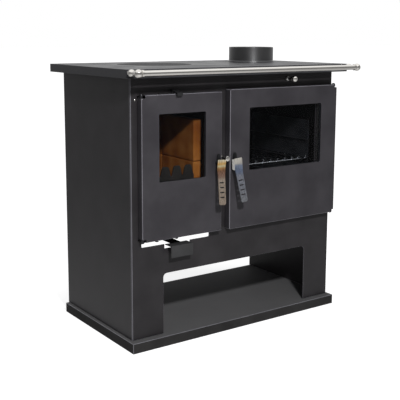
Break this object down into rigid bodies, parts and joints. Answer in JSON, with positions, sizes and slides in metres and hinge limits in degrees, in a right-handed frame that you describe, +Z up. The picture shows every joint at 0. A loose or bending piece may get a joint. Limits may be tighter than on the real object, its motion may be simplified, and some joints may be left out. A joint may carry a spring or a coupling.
{
  "type": "wood cookstove",
  "caption": "Steel wood-burning cookstove: glazed firebox door left, glazed oven door right, open wood bay below, cooktop with lift-out ring and lid, flue collar and towel rail.",
  "frame": {"origin": "on the floor, under the middle of the stove's overall footprint", "axes": "+X to the viewer's right along the front, +Y from the doors to the back, +Z up"},
  "size_m": [0.811, 0.535, 0.838],
  "materials": {
    "casing_paint": "matt dark grey high-temperature paint on steel sheet",
    "door_paint": "satin dark grey high-temperature paint on folded steel",
    "cast_iron": "machined and oiled cast iron",
    "cooktop_steel": "satin heat-treated steel plate",
    "chrome": "polished chrome plate",
    "nickel": "brushed nickel plate",
    "firebrick": "dry, matt refractory board",
    "rope": "woven glass-fibre rope",
    "bare_steel": "mill-finish mild steel sheet",
    "oven_enamel": "black vitreous enamel on steel",
    "ceramic_glass": "clear heat-proof glass ceramic"
  },
  "bodies": {
    "casing": {"base_plinth": "casing_paint", "left_side_panel": "casing_paint", "right_side_panel": "casing_paint", "front_panel": "casing_paint", "back_panel": "casing_paint", "deck_plate": "bare_steel", "cooktop_frame": "cooktop_steel", "hob_plate": "cast_iron", "flue_collar": "casing_paint", "towel_rail": "chrome", "rail_end_left": "chrome", "rail_end_right": "chrome", "rail_bracket_left": "chrome", "rail_bracket_right": "chrome", "firebox_shell": "bare_steel", "grate_shelf": "bare_steel", "grate": "cast_iron", "firebrick_left": "firebrick", "firebrick_right": "firebrick", "firebrick_back": "firebrick", "log_guard": "cast_iron", "ash_pan": "bare_steel", "air_box": "bare_steel", "oven_box": "oven_enamel", "oven_runner_left": "bare_steel", "oven_runner_right": "bare_steel", "oven_rack": "chrome", "flue_partition": "bare_steel", "damper_guide": "bare_steel", "damper_nut": "chrome", "fire_hinge_upper": "chrome", "fire_hinge_lower": "chrome", "oven_hinge_upper": "chrome", "oven_hinge_lower": "chrome", "keeper_stud": "chrome"},
    "fire_door": {"fire_door_tray": "door_paint", "fire_door_glass": "ceramic_glass", "fire_glass_retainer": "bare_steel", "fire_door_liner": "casing_paint", "fire_rope_seal": "rope", "fire_handle_bush": "chrome"},
    "fire_handle": {"fire_handle_plate": "nickel", "fire_handle_shaft": "chrome"},
    "secondary_air": {"secondary_air_slide": "casing_paint"},
    "oven_door": {"oven_door_tray": "door_paint", "oven_door_glass": "ceramic_glass", "oven_glass_retainer": "bare_steel", "oven_door_liner": "casing_paint", "oven_rope_seal": "rope", "oven_handle_bush": "chrome"},
    "oven_handle": {"oven_handle_plate": "nickel", "oven_handle_shaft": "chrome"},
    "primary_air": {"primary_air_slide": "casing_paint"},
    "damper": {"damper_plate": "bare_steel", "damper_rod": "bare_steel", "damper_knob": "chrome"},
    "hob_ring": {"hob_ring": "cast_iron"},
    "hob_lid": {"hob_lid": "cast_iron"}
  },
  "joints": [
    {"name": "fire_door_swing", "type": "hinge", "parent": "casing", "child": "fire_door", "pos_m": [-0.3445, -0.1845, 0.5], "axis": [0, 0, -1], "range_deg": [0, 110]},
    {"name": "oven_door_swing", "type": "hinge", "parent": "casing", "child": "oven_door", "pos_m": [0.365, -0.1845, 0.5], "axis": [0, 0, 1], "range_deg": [0, 110]},
    {"name": "fire_handle_turn", "type": "hinge", "parent": "fire_door", "child": "fire_handle", "pos_m": [-0.097, -0.1955, 0.518], "axis": [0, 1, 0], "range_deg": [0, 80]},
    {"name": "oven_handle_turn", "type": "hinge", "parent": "oven_door", "child": "oven_handle", "pos_m": [-0.038, -0.1955, 0.518], "axis": [0, -1, 0], "range_deg": [0, 80]},
    {"name": "primary_air_pull", "type": "slide", "parent": "casing", "child": "primary_air", "axis": [0, -1, 0], "range_m": [-0.022, 0.03]},
    {"name": "secondary_air_shift", "type": "slide", "parent": "fire_door", "child": "secondary_air", "axis": [1, 0, 0], "range_m": [-0.012, 0.012]},
    {"name": "damper_pull", "type": "slide", "parent": "casing", "child": "damper", "axis": [0, -1, 0], "range_m": [0, 0.05]},
    {"name": "hob_ring_lift", "type": "slide", "parent": "casing", "child": "hob_ring", "axis": [0, 0, 1], "range_m": [0, 0.08]},
    {"name": "hob_lid_lift", "type": "slide", "parent": "hob_ring", "child": "hob_lid", "axis": [0, 0, 1], "range_m": [0, 0.08]}
  ]
}
